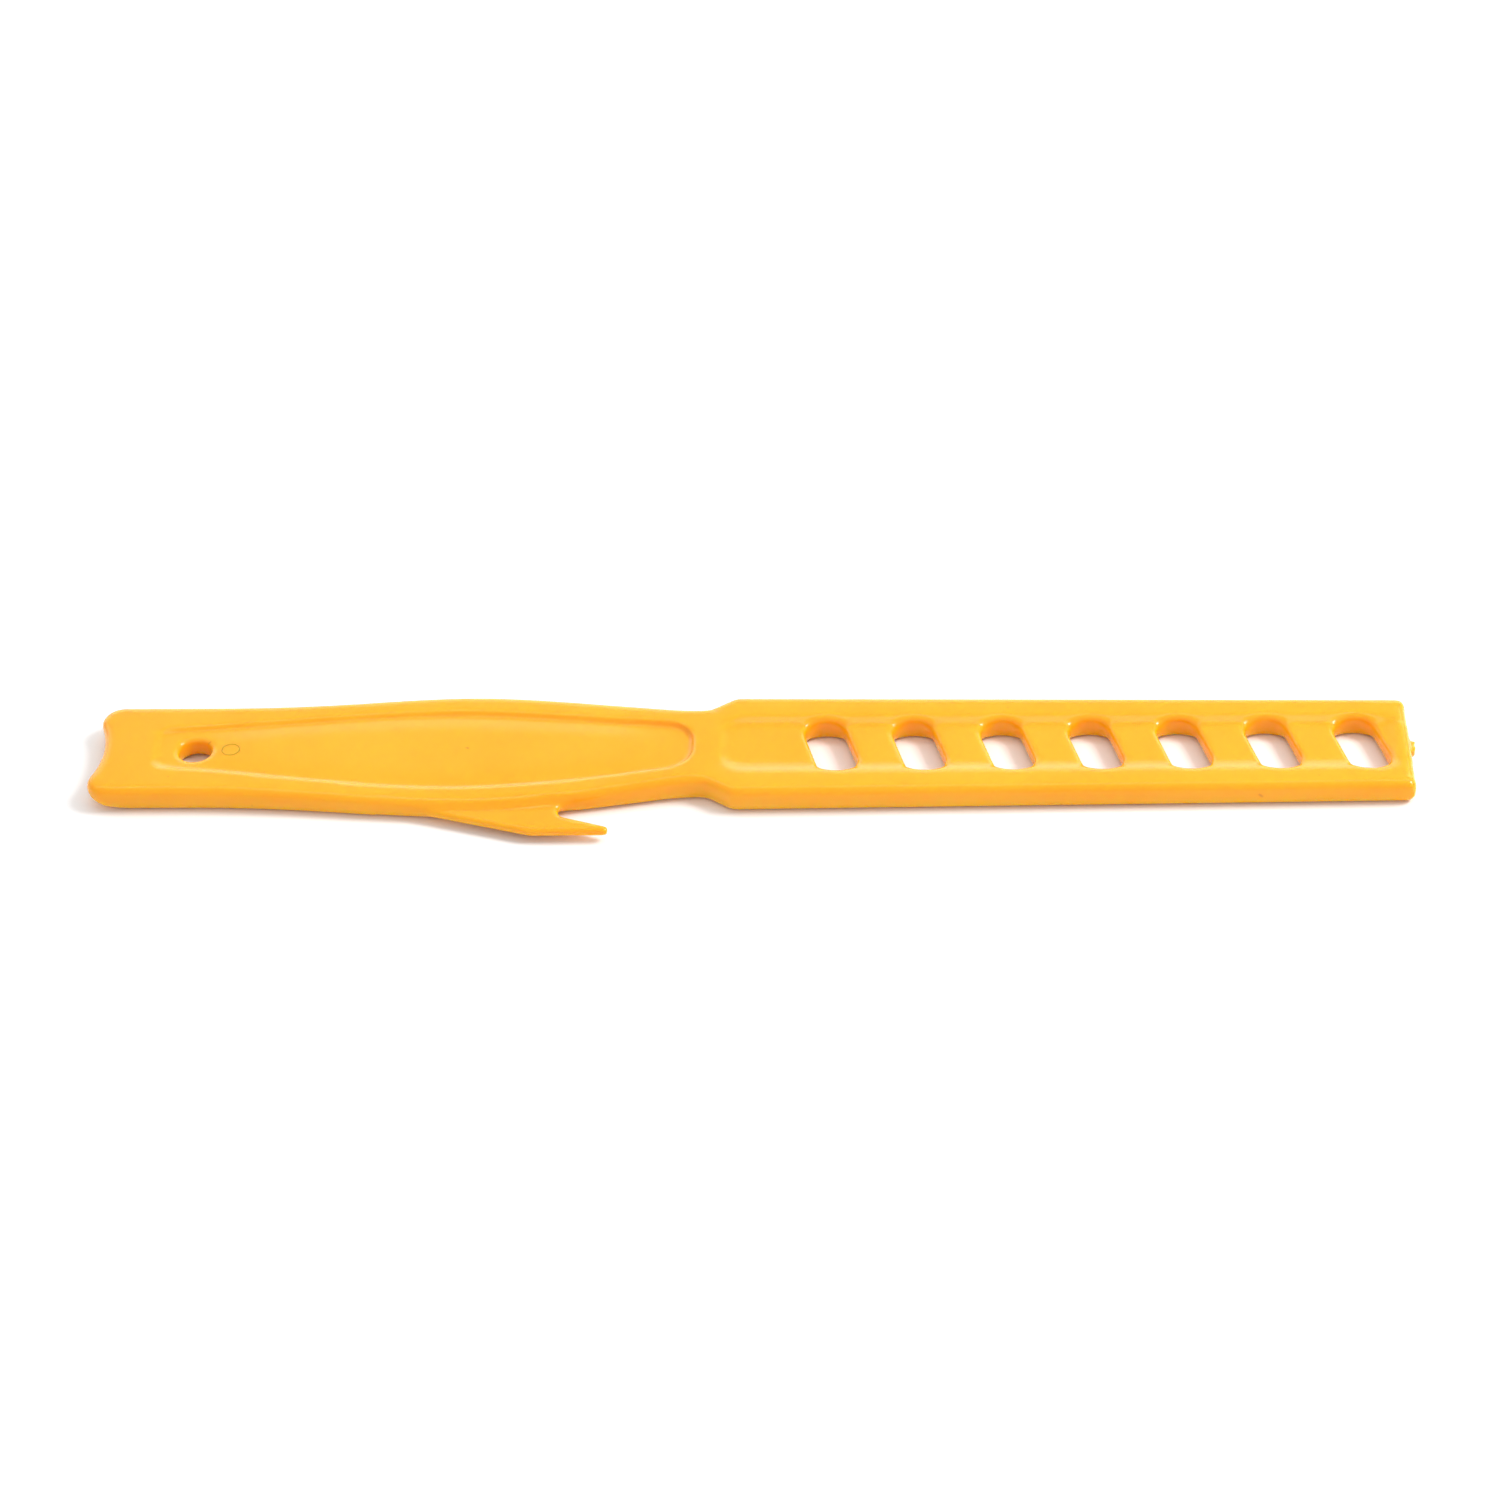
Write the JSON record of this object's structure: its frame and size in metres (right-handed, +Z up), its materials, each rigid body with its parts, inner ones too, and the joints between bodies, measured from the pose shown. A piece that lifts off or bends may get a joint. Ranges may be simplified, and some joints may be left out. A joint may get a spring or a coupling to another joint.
{
  "type": "stirring paddle",
  "caption": "One-piece plastic stirring and scraping paddle with a slotted blade, a contoured handle, a side hook that rests on a pail's rim, a hanging hole and a hollowed scraper end.",
  "frame": {"origin": "centre of the bounding box in plan, on the plane that the underside rests on", "axes": "+X along the tool from the scraper end to the blade's tip, +Z up out of the top face, the hook towards -Y"},
  "size_m": [0.3012, 0.0474, 0.0064],
  "materials": {
    "plastic": "glossy, slightly translucent yellow-orange"
  },
  "bodies": {
    "root": {"paddle": "plastic"}
  },
  "joints": []
}
